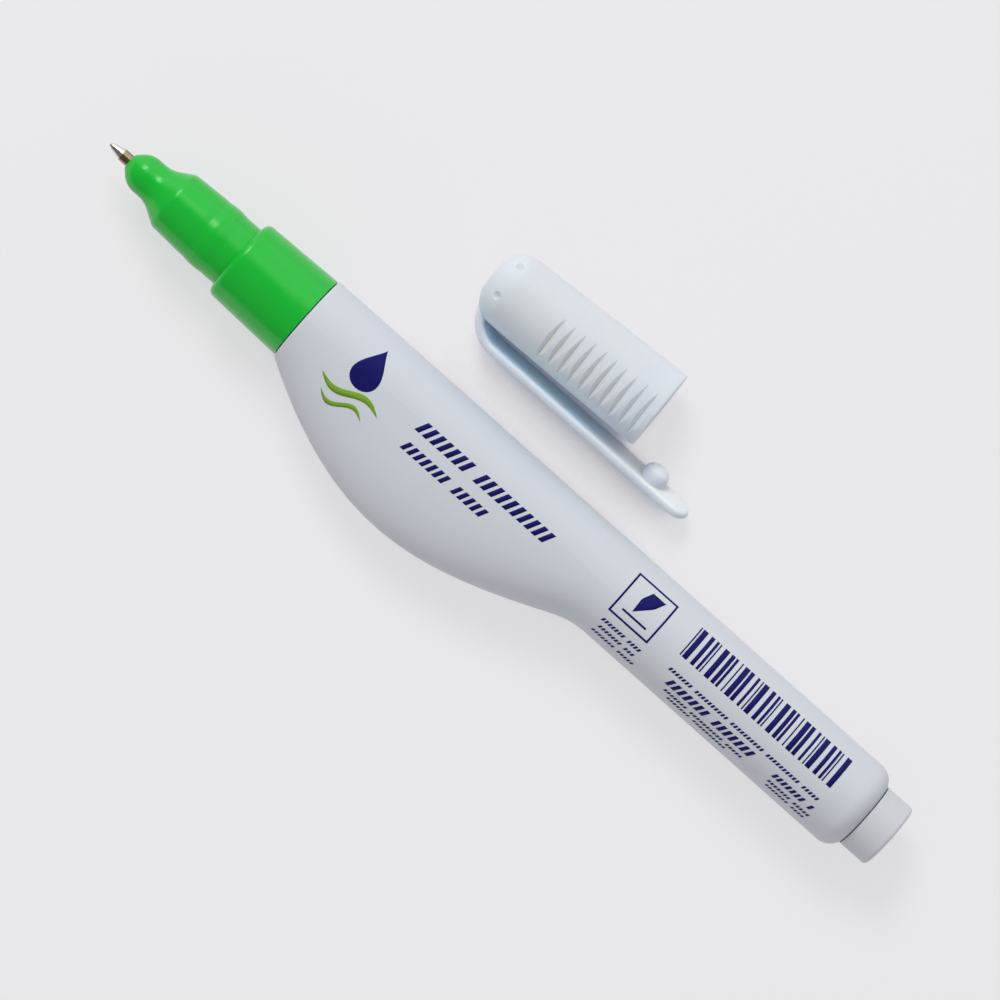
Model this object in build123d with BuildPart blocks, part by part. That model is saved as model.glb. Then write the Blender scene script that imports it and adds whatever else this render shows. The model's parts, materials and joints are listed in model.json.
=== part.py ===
from build123d import *
import os
from math import asin, atan, atan2, cos, degrees, hypot, pi, radians, sin, tan

# A correction pen: a squeezable barrel with a spring-valved point, and its cap lying beside it.
# The pen lies on its side along X, with the middle of its tail face at the origin and its point
# towards +X. The belly of the barrel faces +Y and the cap lies on the -Y side. The table top is
# one barrel radius below the axis. Lengths are in millimetres, angles in degrees.

# Fits that all pieces share
press_play = 0.02  # radial play of pieces that are pressed together
sliding_play = 0.05  # radial play of pieces that slide
overrun = 1.0  # how far a cut runs past the face that it opens

# Barrel: a tube whose front half swells into a flat belly on one side
barrel_radius = 6.4
barrel_length = 97.0  # tail end to front rim
barrel_wall = 0.9
front_wall = 1.4
rim_round = 0.3
belly_length = 51.5
belly_height = 7.9  # how far the belly's crest stands out of the tube
belly_lead_share = 0.935  # power of the belly's sine: below 1 the crest moves to the front
belly_corner = 2.4  # length of the soft corner where the belly runs out into the tube
belly_steps = 32  # evenly spaced sections that carry the belly's surface
tail_shoulder = 2.6
tail_wall = 2.2
cavity_round = 1.6
neck_wall = 1.0
neck_shoulder = 3.4  # how far the neck ends behind the collar's front
neck_bead_height = 0.2
neck_bead_land = 0.5
neck_bead_flank = 0.4
neck_bead_setback = 4.4  # front rim to the middle of the bead

# Tail plug: a hollow stopper whose head shows behind the barrel
stub_step = 1.62  # the head lies this far under the barrel
stub_length = 4.3
stub_round = 0.5
plug_flange = 1.48  # how far the head overlaps the barrel's tail bore
plug_shank_length = 5.0
plug_barb_height = 0.2
plug_wall = 0.9
plug_end_wall = 1.2

# Nose: collar, cap seat with its bead, cone and domed front
collar_gap = 0.15  # joint line between the collar and the barrel
collar_step = 0.16  # the collar's rear edge lies this far under the barrel
collar_draft = 0.32  # the collar narrows by this much towards its front
collar_length = 12.0
collar_round = 0.9
collar_wall = 0.96
seat_step = 1.26  # height of the shoulder that stops the cap
seat_length = 11.1
seat_draft = 0.24  # the cap seat narrows by this much in front of its straight part
seat_land = 0.9  # straight part in front of the bead
seat_wall = 1.0
seat_corner = 1.2
bead_setback = 2.3  # straight part behind the bead
bead_height = 0.13
bead_land = 1.0
bead_flank = 1.1
cone_length = 2.85
cone_step = 1.71  # how much the cone narrows
cone_root_round = 3.6
front_length = 4.85
front_flat = 1.1  # radius of the front's flat end
dome_length = 1.6  # length of the taper behind the flat end
dome_round = 3.0  # radius with which the taper runs out
dome_edge_round = 0.3

# Writing tip: a turned metal point held from inside the nose
tip_stem_radius = 0.87
tip_stem_length = 1.3  # the plain part in front of the nose
tip_cone_length = 1.8
tip_lip = 0.08  # metal left round the needle at the point
tip_lip_round = 0.04
tip_body_radius = 1.5
tip_body_length = 7.2
tip_body_wall = 0.45
tip_wall_length = 1.4  # thickness of the nose's front wall, which the stem passes through
valve_cone_length = 0.75

# Valve pin, its spring and the bush behind them
needle_radius = 0.25
needle_stand_out = 0.3  # how far the needle shows in front of the tip
needle_round = 0.15
valve_seat_play = 0.02
valve_head_play = 0.25  # room for the fluid round the pin's head
valve_head_length = 0.8
guide_radius = 0.35
guide_engagement = 1.6  # how far the pin's rear end reaches into the bush
spring_wire_radius = 0.13
spring_half_turns = 11
spring_end_play = 0.02
spring_samples = 400  # points at which the gap between the turns is measured
bush_step = 0.4  # the bush is wider than the tip's body by this much
bush_length = 2.5
bush_hub_wall = 0.38
bush_slot_width = 0.6
bush_slots = 3

# Mixing ball
ball_radius = 2.75
ball_play = 0.1

# Cap: sleeve, crown, grip grooves and dimples
cap_wall = 0.95
cap_draft = 0.64  # the sleeve narrows by this much from the mouth to the crown
cap_top_wall = 1.3
crown_flat = 1.45  # radius of the crown's flat top, inside its rounding
cap_lip_round = 0.35
cap_bore_land = 9.0  # straight part of the bore at the mouth
spigot_radius = 1.3
spigot_length = 2.2
groove_count = 10
groove_pitch = 1.71
groove_margin = 1.5  # last groove to the mouth
groove_depth = 0.55
groove_width = 1.25
groove_half_angle = 38.5
dimple_places = 6  # the clip takes two of them
dimple_radius = 0.7
dimple_depth = 0.3
dimple_angle = 68.0  # place on the crown's rounding, from its top

# Clip, in one moulding with the cap
clip_width = 5.0
clip_thickness = 1.3
clip_root_gap = 1.6  # sleeve to clip, at the crown
clip_tip_gap = 2.7  # the same past the mouth
clip_overhang = 11.3  # how far the clip reaches past the mouth
clip_slope = 60.0  # how steeply the clip leaves the crown, from the cap's axis
clip_root_straight = 0.2  # between the clip's round root and its bend
clip_edge_land = 0.1  # flat left between the roundings of the clip's edges
nub_setback = 6.5  # clip tip to the middle of the nub
nub_radius = 1.85
nub_height = 2.2
nub_flat = 0.35  # radius of the nub's flat top, inside its rounding

# Cap seal: a soft cup on the crown's spigot, which closes round the front of the nose
seal_floor = 3.3
seal_wall = 0.75
seal_overlap = 3.3  # how far the cup reaches over the nose
seal_tip_room = 1.3  # free length in front of the point
seal_play = 0.03
seal_back_wall = 0.65  # round the spigot

# How the cap lies beside the pen
cap_setback = 14.2  # front rim of the barrel to the crown
cap_side_gap = 4.0  # barrel to the clip
cap_turn = 2.55  # the cap's axis against the pen's, seen from above

# Radii that follow from the steps, walls and plays
cavity_radius = barrel_radius - barrel_wall
stub_radius = barrel_radius - stub_step
tail_bore_radius = stub_radius - plug_flange
collar_rear_radius = barrel_radius - collar_step
collar_front_radius = collar_rear_radius - collar_draft
socket_radius = collar_front_radius - collar_wall
neck_radius = socket_radius - press_play
neck_bore_radius = neck_radius - neck_wall
seat_radius = collar_front_radius - seat_step
seat_front_radius = seat_radius - seat_draft
front_radius = seat_front_radius - cone_step
chamber_radius = seat_front_radius - seat_wall
bush_radius = tip_body_radius + bush_step
guide_hole_radius = guide_radius + sliding_play
bush_hub_radius = guide_hole_radius + bush_hub_wall
valve_chamber_radius = tip_body_radius - tip_body_wall
valve_head_radius = valve_chamber_radius - valve_head_play
spring_radius = (guide_radius + valve_chamber_radius) / 2
needle_hole_radius = needle_radius + sliding_play
tip_mouth_radius = needle_hole_radius + tip_lip
bore_radius = seat_radius + bead_height + sliding_play
cap_mouth_radius = bore_radius + cap_wall
cap_crown_radius = cap_mouth_radius - cap_draft
cap_round = cap_crown_radius - crown_flat
cap_inner_round = cap_round - cap_top_wall
spigot_hole_radius = spigot_radius + press_play
clip_edge_round = (clip_thickness - clip_edge_land) / 2

# Places along the pen, from the tail face at zero
tail_end = stub_length
rim = tail_end + barrel_length
neck_end = rim + collar_length - neck_shoulder
seat_start = rim + collar_length
cone_start = seat_start + seat_length
front_start = cone_start + cone_length
nose_end = front_start + front_length
tip_shoulder = nose_end - tip_wall_length
tip_rear = tip_shoulder - tip_body_length
bush_rear = tip_rear - bush_length
tip_cone_start = nose_end + tip_stem_length
tip_end = tip_cone_start + tip_cone_length
pin_front = tip_end + needle_stand_out
cavity_front = rim - front_wall
cavity_rear = tail_end + tail_wall
plug_end = tail_end + plug_shank_length
table = -barrel_radius

# Lengths of the cap, from its crown at zero
seal_cup_floor = cap_top_wall + seal_floor
cap_length = seal_cup_floor + seal_tip_room + pin_front - seat_start
seal_end = cap_length - (nose_end - seal_overlap - seat_start)
clip_length = cap_length + clip_overhang

# The belly's outline: a half sine, run out into the tube by a parabola that has its slope
corner_start = belly_length - belly_corner
corner_phase = pi * (corner_start / belly_length) ** belly_lead_share
corner_rise = belly_height * sin(corner_phase)
corner_slope = belly_height * cos(corner_phase) * corner_phase * belly_lead_share / corner_start
belly_end = corner_start - 2 * corner_rise / corner_slope


def belly_rise(behind_rim):
    """How far the belly stands out of the tube, at a distance behind the front rim."""
    if behind_rim < corner_start:
        return belly_height * sin(pi * (behind_rim / belly_length) ** belly_lead_share)
    return corner_rise * ((belly_end - behind_rim) / (belly_end - corner_start)) ** 2


def across(x):
    """The plane square to the pen at x, with its own x axis towards the belly."""
    return Plane(origin=(x, 0, 0), x_dir=(0, 1, 0), z_dir=(1, 0, 0))


def ring_bead(middle, radius, height, land, flank):
    """Corners of a bead's half section, from its rear foot to its front foot."""
    half = land / 2
    return [
        (middle - half - flank, radius),
        (middle - half, radius + height),
        (middle + half, radius + height),
        (middle + half + flank, radius),
    ]


# Barrel
neck_bead_middle = rim + neck_bead_setback
neck_bead = ring_bead(
    neck_bead_middle, neck_radius, neck_bead_height, neck_bead_land, neck_bead_flank
)

with BuildPart() as barrel:
    for step in range(belly_steps + 1):
        behind_rim = belly_end * step / belly_steps
        reach = barrel_radius + belly_rise(behind_rim)
        with BuildSketch(across(rim - behind_rim)):
            with BuildLine():
                CenterArc((0, 0), barrel_radius, 90, 180)
                EllipticalCenterArc((0, 0), reach, barrel_radius, start_angle=-90, arc_size=180)
            make_face()
    loft()
    fillet(barrel.faces().sort_by(Axis.X)[-1].edges(), rim_round)
    with BuildSketch(across(rim - belly_end)):
        Circle(barrel_radius)
    extrude(amount=tail_end - (rim - belly_end))
    fillet(barrel.faces().sort_by(Axis.X)[0].edges(), tail_shoulder)
    # The cavity follows the outside, one wall further in
    for step in range(belly_steps + 1):
        behind_rim = front_wall + (belly_end - front_wall) * step / belly_steps
        reach = cavity_radius + belly_rise(behind_rim)
        with BuildSketch(across(rim - behind_rim)):
            with BuildLine():
                CenterArc((0, 0), cavity_radius, 90, 180)
                EllipticalCenterArc((0, 0), reach, cavity_radius, start_angle=-90, arc_size=180)
            make_face()
    loft(mode=Mode.SUBTRACT)
    with BuildSketch():
        with BuildLine():
            FilletPolyline(
                (rim - belly_end, 0),
                (rim - belly_end, cavity_radius),
                (cavity_rear, cavity_radius),
                (cavity_rear, tail_bore_radius),
                (tail_end, tail_bore_radius),
                (tail_end, 0),
                radius=[0, 0, cavity_round, 0, 0, 0],
                close=True,
            )
        make_face()
    revolve(axis=Axis.X, mode=Mode.SUBTRACT)
    # The neck, with the bead that the nose snaps over
    with BuildSketch():
        with BuildLine():
            Polyline(
                (cavity_front, 0),
                (cavity_front, neck_radius),
                *neck_bead,
                (neck_end, neck_radius),
                (neck_end, 0),
                close=True,
            )
        make_face()
    revolve(axis=Axis.X)
    with BuildSketch(across(neck_end)):
        Circle(neck_bore_radius)
    extrude(amount=cavity_front - neck_end, mode=Mode.SUBTRACT)

# Tail plug
shank_radius = tail_bore_radius - press_play
barb_start = cavity_rear + press_play
barb_radius = tail_bore_radius + plug_barb_height

with BuildPart() as tail_plug:
    with BuildSketch():
        with BuildLine():
            FilletPolyline(
                (0, 0),
                (0, stub_radius),
                (tail_end, stub_radius),
                (tail_end, shank_radius),
                (barb_start, shank_radius),
                (barb_start, barb_radius),
                (plug_end, shank_radius - plug_barb_height),
                (plug_end, 0),
                radius=[0, stub_round, 0, 0, 0, 0, 0, 0],
                close=True,
            )
        make_face()
    revolve(axis=Axis.X)
    with BuildSketch(across(plug_end)):
        Circle(shank_radius - plug_wall)
    extrude(amount=plug_end_wall - plug_end, mode=Mode.SUBTRACT)

# Nose
collar_rear = rim + collar_gap
seat_bead_middle = seat_start + bead_setback + bead_flank + bead_land / 2
seat_bead = ring_bead(seat_bead_middle, seat_radius, bead_height, bead_land, bead_flank)
seat_taper_start = seat_bead_middle + bead_land / 2 + bead_flank + seat_land
socket_groove = ring_bead(
    neck_bead_middle, socket_radius, neck_bead_height, neck_bead_land, neck_bead_flank
)

with BuildPart() as nose:
    with BuildSketch():
        with BuildLine():
            FilletPolyline(
                (collar_rear, 0),
                (collar_rear, collar_rear_radius),
                (seat_start, collar_front_radius),
                (seat_start, seat_radius),
                *seat_bead,
                (seat_taper_start, seat_radius),
                (cone_start, seat_front_radius),
                (front_start, front_radius),
                (nose_end - dome_length, front_radius),
                (nose_end, front_flat),
                (nose_end, 0),
                radius=[0, 0, collar_round]
                + [0] * (len(seat_bead) + 2)
                + [seat_corner, cone_root_round, dome_round, dome_edge_round, 0],
                close=True,
            )
        make_face()
    revolve(axis=Axis.X)
    with BuildSketch():
        with BuildLine():
            Polyline(
                (collar_rear, 0),
                (collar_rear, socket_radius),
                *socket_groove,
                (neck_end, socket_radius),
                (neck_end, chamber_radius),
                (bush_rear, chamber_radius),
                (bush_rear, bush_radius + press_play),
                (tip_rear, bush_radius + press_play),
                (tip_rear, tip_body_radius + press_play),
                (tip_shoulder, tip_body_radius + press_play),
                (tip_shoulder, tip_stem_radius + press_play),
                (nose_end, tip_stem_radius + press_play),
                (nose_end, 0),
                close=True,
            )
        make_face()
    revolve(axis=Axis.X, mode=Mode.SUBTRACT)

# Writing tip
valve_cone_start = tip_shoulder - valve_cone_length

with BuildPart() as writing_tip:
    with BuildSketch():
        with BuildLine():
            FilletPolyline(
                (tip_rear, valve_chamber_radius),
                (tip_rear, tip_body_radius),
                (tip_shoulder, tip_body_radius),
                (tip_shoulder, tip_stem_radius),
                (tip_cone_start, tip_stem_radius),
                (tip_end, tip_mouth_radius),
                (tip_end, needle_hole_radius),
                (tip_shoulder, needle_hole_radius),
                (valve_cone_start, valve_chamber_radius),
                radius=[0, 0, 0, 0, 0, tip_lip_round, 0, 0, 0],
                close=True,
            )
        make_face()
    revolve(axis=Axis.X)

# Valve pin: its cone lies on the tip's inner cone, set back by the play
cone_slope = (valve_chamber_radius - needle_hole_radius) / valve_cone_length
pin_cone_front = tip_shoulder + sliding_play / cone_slope - valve_seat_play
pin_cone_rear = pin_cone_front - (valve_head_radius - needle_radius) / cone_slope
pin_head_rear = pin_cone_rear - valve_head_length
pin_rear = tip_rear - guide_engagement

with BuildPart() as valve_pin:
    with BuildSketch():
        with BuildLine():
            FilletPolyline(
                (pin_rear, 0),
                (pin_rear, guide_radius),
                (pin_head_rear, guide_radius),
                (pin_head_rear, valve_head_radius),
                (pin_cone_rear, valve_head_radius),
                (pin_cone_front, needle_radius),
                (pin_front, needle_radius),
                (pin_front, 0),
                radius=[0, 0, 0, 0, 0, 0, needle_round, 0],
                close=True,
            )
        make_face()
    revolve(axis=Axis.X)

# Valve spring: each half turn of the wire is two tangent arcs
wire_inset = spring_wire_radius + spring_end_play
spring_start = tip_rear + wire_inset
half_pitch = (pin_head_rear - wire_inset - spring_start) / spring_half_turns


def on_spring(half_turn):
    """The middle of the wire after so many half turns from the rear end."""
    angle = pi * half_turn
    along = spring_start + half_pitch * half_turn
    return Vector(along, spring_radius * cos(angle), spring_radius * sin(angle))


def along_spring(half_turn):
    """The way the wire runs there."""
    angle = pi * half_turn
    around = pi * spring_radius
    return Vector(half_pitch, -around * sin(angle), around * cos(angle)).normalized()


with BuildPart() as valve_spring:
    with BuildLine() as spring_line:
        for number in range(spring_half_turns):
            start, end = on_spring(number), on_spring(number + 1)
            leave, arrive = along_spring(number), along_spring(number + 1)
            chord = end - start
            twist = 2 * leave.dot(arrive) - 2
            run = chord.dot(leave + arrive)
            leg = (run - (run**2 - twist * chord.dot(chord)) ** 0.5) / twist
            knee = start + leave * leg
            middle = (knee + end - arrive * leg) / 2
            TangentArc(start, middle, tangent=leave)
            TangentArc(middle, end, tangent=middle - knee)
    with BuildSketch(Plane(origin=on_spring(0), z_dir=along_spring(0))):
        Circle(spring_wire_radius)
    sweep(path=spring_line.line)

wire_middles = [spring_line.line @ (i / spring_samples) for i in range(spring_samples + 1)]
samples_per_half_turn = spring_samples // spring_half_turns
turn_distances = [
    (wire_middles[i] - wire_middles[k]).length
    for i in range(len(wire_middles))
    for k in range(i + samples_per_half_turn, len(wire_middles))
]
print(f"valve_spring: least gap {min(turn_distances) - 2 * spring_wire_radius:.2f} mm")

# Spring seat: a bush with a hub round the pin and open slots for the fluid
with BuildPart() as spring_seat:
    with BuildSketch(across(bush_rear)):
        Circle(bush_radius)
        with PolarLocations(bush_hub_radius, bush_slots):
            Rectangle(
                bush_radius, bush_slot_width, align=(Align.MIN, Align.CENTER), mode=Mode.SUBTRACT
            )
        Circle(guide_hole_radius, mode=Mode.SUBTRACT)
    extrude(amount=bush_length)

# Mixing ball: lies on the floor of the cavity, under the crest of the belly
ball_height = ball_radius + ball_play - cavity_radius

with BuildPart() as mixing_ball:
    with Locations((rim - belly_length / 2, 0, ball_height)):
        Sphere(ball_radius)

# How the cap lies: on the side of its sleeve and on the lower edge of its clip's root
cap_taper = atan(cap_draft / cap_length)
clip_root_distance = cap_crown_radius + clip_root_gap + clip_thickness
clip_tip_distance = cap_mouth_radius + clip_tip_gap + clip_thickness
clip_rise = radians(clip_slope)
clip_start = cap_round * (1 - sin(clip_rise))
clip_start_distance = crown_flat + cap_round * cos(clip_rise)
clip_corner = clip_start + (clip_root_distance - clip_start_distance) / tan(clip_rise)
clip_lean = atan((clip_tip_distance - clip_root_distance) / (clip_length - clip_corner))
clip_tongue = clip_width / 2  # radius of the clip's round ends
clip_root_length = (clip_root_distance - clip_start_distance) / sin(clip_rise)
bend_leg = clip_root_length - clip_tongue - clip_root_straight
clip_bend = bend_leg / tan((clip_rise - clip_lean) / 2)
foot_place = clip_corner + bend_leg * cos(clip_lean)
foot_distance = clip_root_distance + bend_leg * sin(clip_lean) - clip_edge_round
foot_half_width = clip_width / 2 - clip_edge_round
foot_drop = cap_crown_radius + foot_place * tan(cap_taper) - clip_edge_round
cap_roll = asin(foot_drop / hypot(foot_distance, foot_half_width)) - atan2(foot_half_width, foot_distance)
clip_reach = clip_tip_distance * cos(cap_roll) + clip_width / 2 * sin(cap_roll)


def as_it_lies(direction):
    """A direction of the cap, raised by the sleeve's taper and turned on the table."""
    return direction.rotate(Axis.Y, degrees(cap_taper)).rotate(Axis.Z, cap_turn)


cap_axis = as_it_lies(Vector(-1, 0, 0))
clip_side = as_it_lies(Vector(0, cos(cap_roll), -sin(cap_roll)))
crown_middle = Vector(
    rim - cap_setback,
    -(barrel_radius + cap_side_gap + clip_reach),
    table + cap_crown_radius * cos(cap_taper),
)
# The cap's own frame: x from the crown to the mouth, y towards the clip
cap_frame = Plane(origin=crown_middle, x_dir=cap_axis, z_dir=cap_axis.cross(clip_side))
cap_middle_line = Axis(crown_middle, cap_axis)


def sleeve_radius(along):
    """Outer radius of the sleeve, at a distance from the crown."""
    return cap_crown_radius + along * tan(cap_taper)


# Clip
def clip_section(end):
    """Sketch plane at an end of the outer line, its x axis across the clip and y inwards."""
    return Plane(clip_line.line @ end, x_dir=cap_frame.z_dir, z_dir=clip_line.line % end)


# The clip is a rounded strip along its outer line, with a round tongue at both ends
with BuildPart() as clip:
    with BuildLine(cap_frame) as clip_line:
        FilletPolyline(
            (
                clip_start + clip_tongue * cos(clip_rise),
                clip_start_distance + clip_tongue * sin(clip_rise),
            ),
            (clip_corner, clip_root_distance),
            (
                clip_length - clip_tongue * cos(clip_lean),
                clip_tip_distance - clip_tongue * sin(clip_lean),
            ),
            radius=clip_bend,
        )
    with BuildSketch(clip_section(0)):
        with Locations((0, clip_thickness / 2)):
            RectangleRounded(clip_width, clip_thickness, clip_edge_round)
    sweep(path=clip_line.line)
    for end in (0, 1):
        with BuildSketch(clip_section(end)):
            with Locations((0, clip_thickness / 2)):
                RectangleRounded(clip_width, clip_thickness, clip_edge_round)
                Rectangle(clip_width, clip_width, align=(Align.MAX, Align.CENTER), mode=Mode.SUBTRACT)
        revolve(axis=Axis(clip_line.line @ end, clip_section(end).y_dir))

# The nub is a turned dome on the clip's inner face
nub_place = clip_length - nub_setback
nub_distance = clip_tip_distance - clip_thickness / cos(clip_lean) - nub_setback * tan(clip_lean)
nub_frame = Plane(
    cap_frame.from_local_coords((nub_place, nub_distance)), x_dir=cap_axis, z_dir=-cap_frame.z_dir
)

with BuildPart() as nub:
    with BuildSketch(nub_frame):
        with BuildLine():
            FilletPolyline(
                (0, -clip_thickness / 2),
                (0, nub_height),
                (nub_radius, nub_height),
                (nub_radius, -clip_thickness / 2),
                radius=[0, 0, nub_radius - nub_flat, 0],
                close=True,
            )
        make_face()
    revolve(axis=Axis(nub_frame.origin, nub_frame.y_dir))

# Cap
bore_top_radius = sleeve_radius(cap_round) - cap_wall
dimple_tilt = radians(dimple_angle)
dimple_rise = cap_round + dimple_radius - dimple_depth
dimple_place = cap_round - dimple_rise * cos(dimple_tilt)
dimple_distance = crown_flat + dimple_rise * sin(dimple_tilt)

with BuildPart() as cap:
    with BuildSketch(cap_frame):
        with BuildLine():
            FilletPolyline(
                (0, 0),
                (0, cap_crown_radius),
                (cap_length, cap_mouth_radius),
                (cap_length, bore_radius),
                (cap_length - cap_bore_land, bore_radius),
                (cap_top_wall, bore_top_radius),
                (cap_top_wall, spigot_radius),
                (cap_top_wall + spigot_length, spigot_radius),
                (cap_top_wall + spigot_length, 0),
                radius=[0, cap_round, cap_lip_round, 0, 0, cap_inner_round, 0, 0, 0],
                close=True,
            )
        make_face()
    revolve(axis=cap_middle_line)
    # Grip grooves: V cuts that run out at both ends, because their centre lies off the axis
    for side in (clip_side, -clip_side):
        groove_plane = Plane(origin=crown_middle, x_dir=cap_axis, z_dir=side)
        for number in range(groove_count):
            place = cap_length - groove_margin - number * groove_pitch
            radius = sleeve_radius(place)
            floor = radius - groove_depth
            run_out = radius * cos(radians(groove_half_angle))
            off_axis = (radius**2 - floor**2) / (2 * (floor - run_out))
            half_top = groove_width / 2 * (groove_depth + overrun) / groove_depth
            with BuildSketch(groove_plane):
                with BuildLine():
                    Polyline(
                        (place, floor),
                        (place + half_top, radius + overrun),
                        (place - half_top, radius + overrun),
                        close=True,
                    )
                make_face()
            groove_centre = groove_plane.from_local_coords((0, -off_axis, 0))
            revolve(axis=Axis(groove_centre, cap_axis), mode=Mode.SUBTRACT)
    # Dimples in the crown's rounding
    for number in range(1, dimple_places - 1):
        around = (number + 0.5) * 360 / dimple_places
        outward = clip_side.rotate(Axis((0, 0, 0), cap_axis), around)
        with Locations(crown_middle + cap_axis * dimple_place + outward * dimple_distance):
            Sphere(dimple_radius, mode=Mode.SUBTRACT)
    add(clip.part)
    add(nub.part)

# Cap seal
seal_bore = front_radius + seal_play
seal_radius = seal_bore + seal_wall

with BuildPart() as cap_seal:
    with BuildSketch(cap_frame):
        with BuildLine():
            Polyline(
                (cap_top_wall, spigot_hole_radius),
                (cap_top_wall, spigot_hole_radius + seal_back_wall),
                (cap_top_wall + cap_inner_round, seal_radius),
                (seal_end, seal_radius),
                (seal_end, seal_bore),
                (seal_cup_floor, seal_bore),
                (seal_cup_floor, 0),
                (cap_top_wall + spigot_length + press_play, 0),
                (cap_top_wall + spigot_length + press_play, spigot_hole_radius),
                close=True,
            )
        make_face()
    revolve(axis=cap_middle_line)

pieces = {
    "barrel": barrel,
    "tail_plug": tail_plug,
    "nose": nose,
    "writing_tip": writing_tip,
    "valve_pin": valve_pin,
    "valve_spring": valve_spring,
    "spring_seat": spring_seat,
    "mixing_ball": mixing_ball,
    "cap": cap,
    "cap_seal": cap_seal,
}
os.makedirs("parts", exist_ok=True)
for name, piece in pieces.items():
    piece.part.label = name
    export_step(piece.part, f"parts/{name}.step")
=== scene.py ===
"""Looks for a correction pen: moulded plastics, a turned metal point, print on the barrel."""

import json
from math import cos, pi, radians, sin

import bmesh
import bpy
from bpy.props import FloatProperty, FloatVectorProperty, IntProperty, PointerProperty
from mathutils import Matrix, Vector


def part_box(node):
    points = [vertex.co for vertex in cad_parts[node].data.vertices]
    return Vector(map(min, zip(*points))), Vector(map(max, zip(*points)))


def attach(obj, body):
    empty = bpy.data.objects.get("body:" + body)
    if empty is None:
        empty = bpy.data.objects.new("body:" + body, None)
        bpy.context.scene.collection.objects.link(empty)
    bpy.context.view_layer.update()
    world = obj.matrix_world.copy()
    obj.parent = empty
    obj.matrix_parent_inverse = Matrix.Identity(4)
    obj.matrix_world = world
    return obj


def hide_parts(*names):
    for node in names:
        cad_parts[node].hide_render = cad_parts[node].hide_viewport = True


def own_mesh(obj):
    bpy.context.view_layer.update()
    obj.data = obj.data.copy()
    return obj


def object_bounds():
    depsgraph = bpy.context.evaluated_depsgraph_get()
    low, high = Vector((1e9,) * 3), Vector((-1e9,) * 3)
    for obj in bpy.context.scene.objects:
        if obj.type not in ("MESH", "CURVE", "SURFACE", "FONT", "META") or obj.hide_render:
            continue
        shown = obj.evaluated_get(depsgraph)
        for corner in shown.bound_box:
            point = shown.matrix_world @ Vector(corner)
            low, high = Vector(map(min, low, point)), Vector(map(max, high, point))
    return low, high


bl_info = {
    "name": "Correction pen",
    "version": (1, 0, 0),
    "blender": (4, 5, 0),
    "location": "View3D > Sidebar > Pen",
    "description": "Finishes and prints a correction pen that lies beside its cap",
    "category": "Object",
}

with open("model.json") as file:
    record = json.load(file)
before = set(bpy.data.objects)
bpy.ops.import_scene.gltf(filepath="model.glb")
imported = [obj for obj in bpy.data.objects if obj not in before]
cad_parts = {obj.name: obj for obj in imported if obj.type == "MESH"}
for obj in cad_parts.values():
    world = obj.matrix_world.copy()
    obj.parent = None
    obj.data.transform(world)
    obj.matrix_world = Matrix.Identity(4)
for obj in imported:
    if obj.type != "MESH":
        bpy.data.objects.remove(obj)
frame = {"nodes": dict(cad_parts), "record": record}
cad_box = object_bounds()
nodes = frame["nodes"]
mounts = {mount["name"]: mount for mount in frame["record"]["mounts"]}

MM = 0.001
JOIN_DISTANCE = 0.0001 * MM
WELD_DISTANCE = 0.001 * MM
TUBE_RADIUS = mounts["barrel_tube"]["dims"]["r_mm"] * MM
NOSE_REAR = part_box("nose")[0].x
NOSE_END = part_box("nose")[1].x
TIP_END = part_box("writing_tip")[1].x
TABLE = cad_box[0].z
# The point's stem, as a share of what stands out of the nose, and how softly its tone ends
STEM_SHARE, STEM_SOFT = 0.42, 0.12 * MM


# Sizes and colours that a user would change


def colour(name, words, value):
    """A colour property with its default."""
    return FloatVectorProperty(
        name=name, description=words, subtype="COLOR", size=3, min=0, max=1, default=value
    )


def length(name, words, millimetres):
    """A length property with its default in millimetres."""
    return FloatProperty(name=name, description=words, unit="LENGTH", default=millimetres * MM)


def number(name, words, value):
    """A plain number property with its default."""
    return FloatProperty(name=name, description=words, default=value)


def place(name, words, value):
    """A place in the picture, in metres to the right, up and towards the camera."""
    return FloatVectorProperty(name=name, description=words, unit="LENGTH", size=3, default=value)


class PenColours(bpy.types.PropertyGroup):
    """Colours of the plastics, metals and inks."""

    barrel: colour("Barrel", "Cool white of the squeezable barrel", (0.615, 0.65, 0.7))
    plug: colour("Tail plug", "White of the stopper in the tail", (0.6, 0.625, 0.66))
    nose: colour("Nose", "Green of the tip holder", (0.004, 0.465, 0.031))
    cap: colour("Cap", "Bluish white of the cap", (0.68, 0.72, 0.78))
    # Painted shade: a bluer tone in the gap behind the clip, standing in for the blue shade that
    # falls there
    cast: colour("Gap painted shade", "Bluer tone in the gap behind the clip", (0.72, 0.84, 1.0))
    # Painted light: the clip's two faces are made lighter, standing in for light that comes through
    # the thin plastic
    clip_painted_light: colour("Clip painted light", "Lighter tone of the clip's two faces", (0.8, 0.84, 0.88))
    seal: colour("Seal", "Grey of the soft cup in the cap", (0.55, 0.55, 0.53))
    bush: colour("Bush", "Natural plastic of the bush behind the spring", (0.6, 0.6, 0.57))
    point: colour("Point", "Bright metal of the writing point", (0.78, 0.76, 0.72))
    stem: colour("Stem", "Darker, warmer metal where the point leaves the nose", (0.36, 0.29, 0.17))
    steel: colour("Steel", "Needle, spring and ball", (0.62, 0.62, 0.63))
    navy: colour("Navy ink", "Ink of the rules, bars and drop", (0.006, 0.006, 0.11))
    leaf: colour("Green ink", "Ink of the waves under the drop", (0.18, 0.34, 0.025))


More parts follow.
